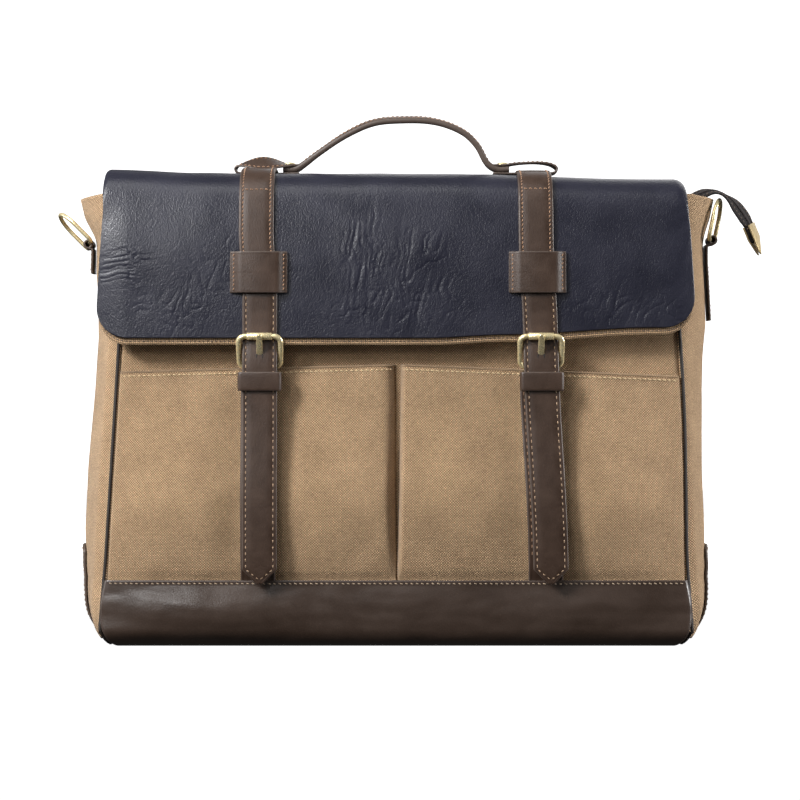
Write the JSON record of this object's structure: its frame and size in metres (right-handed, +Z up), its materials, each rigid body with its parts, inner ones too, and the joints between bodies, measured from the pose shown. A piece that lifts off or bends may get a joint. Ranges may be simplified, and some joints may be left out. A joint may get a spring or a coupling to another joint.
{
  "type": "messenger bag",
  "caption": "Canvas messenger bag with a leather flap, two buckled straps, front patch pockets, a top handle and a zipped mouth.",
  "frame": {"origin": "middle of the flat underside of the base, on the surface the bag stands on", "axes": "+X to the right seen from the front, -Y out of the front, +Z up"},
  "size_m": [0.5077, 0.1282, 0.3784],
  "materials": {
    "canvas": "coarse tan-brown plain weave",
    "navy_leather": "semi-gloss waxed full-grain",
    "brown_leather": "satin, edges painted dark",
    "antique_brass": "brushed antique",
    "lining_cloth": "plain cotton",
    "padded_lining": "cotton over foam",
    "zip_tape": "woven tape",
    "stiffener_board": "plain"
  },
  "bodies": {
    "bag": {"front_panel": "canvas", "back_panel": "canvas", "gusset_left": "canvas", "gusset_right": "canvas", "gusset_patch_left": "brown_leather", "gusset_patch_right": "brown_leather", "base_panel": "brown_leather", "base_board": "stiffener_board", "piping_left": "brown_leather", "piping_right": "brown_leather", "front_pocket_left": "canvas", "front_pocket_right": "canvas", "anchor_strap_left": "brown_leather", "anchor_strap_right": "brown_leather", "snap_socket_left": "antique_brass", "snap_socket_right": "antique_brass", "lining": "lining_cloth", "laptop_divider": "padded_lining", "flap_back": "navy_leather", "strap_back_left": "brown_leather", "strap_back_right": "brown_leather", "d_ring_tab_left": "brown_leather", "d_ring_tab_right": "brown_leather", "zip_tail": "zip_tape", "zip_end_cap": "antique_brass"},
    "flap_top": {"flap_crest": "navy_leather", "crest_lining": "lining_cloth", "strap_crest_left": "brown_leather", "strap_crest_right": "brown_leather", "handle_loop_left": "brown_leather", "handle_loop_right": "brown_leather", "handle_rivet_left": "antique_brass", "handle_rivet_right": "antique_brass"},
    "flap": {"flap_front": "navy_leather", "flap_lining": "lining_cloth", "strap_front_left": "brown_leather", "strap_front_right": "brown_leather", "wide_keeper_left": "brown_leather", "wide_keeper_right": "brown_leather"},
    "handle": {"handle_arch": "brown_leather"},
    "zip_front": {"zip_strip_front": "zip_tape"},
    "zip_rear": {"zip_strip_rear": "zip_tape"},
    "zip_slider": {"zip_slider": "antique_brass"},
    "zip_pull": {"zip_pull": "antique_brass"},
    "strap_left": {"tail_strap_left": "brown_leather", "buckle_frame_left": "antique_brass", "buckle_tab_left": "brown_leather", "snap_stud_left": "antique_brass"},
    "prong_left": {"buckle_prong_left": "antique_brass"},
    "roller_left": {"buckle_roller_left": "antique_brass"},
    "loop_left": {"keeper_loop_left": "brown_leather"},
    "d_ring_left": {"d_ring_left": "antique_brass"},
    "strap_right": {"tail_strap_right": "brown_leather", "buckle_frame_right": "antique_brass", "buckle_tab_right": "brown_leather", "snap_stud_right": "antique_brass"},
    "prong_right": {"buckle_prong_right": "antique_brass"},
    "roller_right": {"buckle_roller_right": "antique_brass"},
    "loop_right": {"keeper_loop_right": "brown_leather"},
    "d_ring_right": {"d_ring_right": "antique_brass"}
  },
  "joints": [
    {"name": "flap_open", "type": "hinge", "parent": "bag", "child": "flap_top", "pos_m": [0, 0.0415, 0.313], "axis": [-1, 0, 0], "range_deg": [0, 120]},
    {"name": "flap_fold", "type": "hinge", "parent": "flap_top", "child": "flap", "pos_m": [0, -0.0462, 0.3235], "axis": [-1, 0, 0], "range_deg": [0, 80]},
    {"name": "handle_swing", "type": "hinge", "parent": "flap_top", "child": "handle", "pos_m": [0, -0.002, 0.34], "axis": [1, 0, 0], "range_deg": [-28, 28]},
    {"name": "zip_front_close", "type": "hinge", "parent": "bag", "child": "zip_front", "pos_m": [0, -0.0322, 0.2965], "axis": [1, 0, 0], "range_deg": [0, 90]},
    {"name": "zip_rear_close", "type": "hinge", "parent": "bag", "child": "zip_rear", "pos_m": [0, 0.0322, 0.2965], "axis": [-1, 0, 0], "range_deg": [0, 90]},
    {"name": "zip_slide", "type": "slide", "parent": "bag", "child": "zip_slider", "axis": [1, 0, 0], "range_m": [-0.345, 0]},
    {"name": "zip_pull_lift", "type": "hinge", "parent": "zip_slider", "child": "zip_pull", "pos_m": [0.1745, 0, 0.3007], "axis": [0, 1, 0], "range_deg": [0, 120]},
    {"name": "strap_lift_left", "type": "hinge", "parent": "flap", "child": "strap_left", "pos_m": [-0.0985, -0.06, 0.2478], "axis": [-1, 0, 0], "range_deg": [0, 80]},
    {"name": "prong_turn_left", "type": "hinge", "parent": "strap_left", "child": "prong_left", "pos_m": [-0.0985, -0.0576, 0.1965], "axis": [1, 0, 0], "range_deg": [0, 12]},
    {"name": "roller_spin_left", "type": "hinge", "parent": "strap_left", "child": "roller_left", "pos_m": [-0.0985, -0.0652, 0.218], "axis": [1, 0, 0], "continuous": true},
    {"name": "loop_slide_left", "type": "slide", "parent": "strap_left", "child": "loop_left", "axis": [0, 0, -1], "range_m": [0, 0.009]},
    {"name": "strap_lift_right", "type": "hinge", "parent": "flap", "child": "strap_right", "pos_m": [0.0985, -0.06, 0.2478], "axis": [-1, 0, 0], "range_deg": [0, 80]},
    {"name": "prong_turn_right", "type": "hinge", "parent": "strap_right", "child": "prong_right", "pos_m": [0.0985, -0.0576, 0.1965], "axis": [1, 0, 0], "range_deg": [0, 12]},
    {"name": "roller_spin_right", "type": "hinge", "parent": "strap_right", "child": "roller_right", "pos_m": [0.0985, -0.0652, 0.218], "axis": [1, 0, 0], "continuous": true},
    {"name": "loop_slide_right", "type": "slide", "parent": "strap_right", "child": "loop_right", "axis": [0, 0, -1], "range_m": [0, 0.009]},
    {"name": "d_ring_swing_left", "type": "hinge", "parent": "bag", "child": "d_ring_left", "pos_m": [-0.2216, 0, 0.286], "axis": [0, 1, 0], "range_deg": [-130, 20]},
    {"name": "d_ring_swing_right", "type": "hinge", "parent": "bag", "child": "d_ring_right", "pos_m": [0.22383, 0, 0.289], "axis": [0, 1, 0], "range_deg": [-6, 14]}
  ],
  "couplings": [
    {"joint": "zip_rear_close", "follows": "zip_front_close", "ratio": 1}
  ]
}
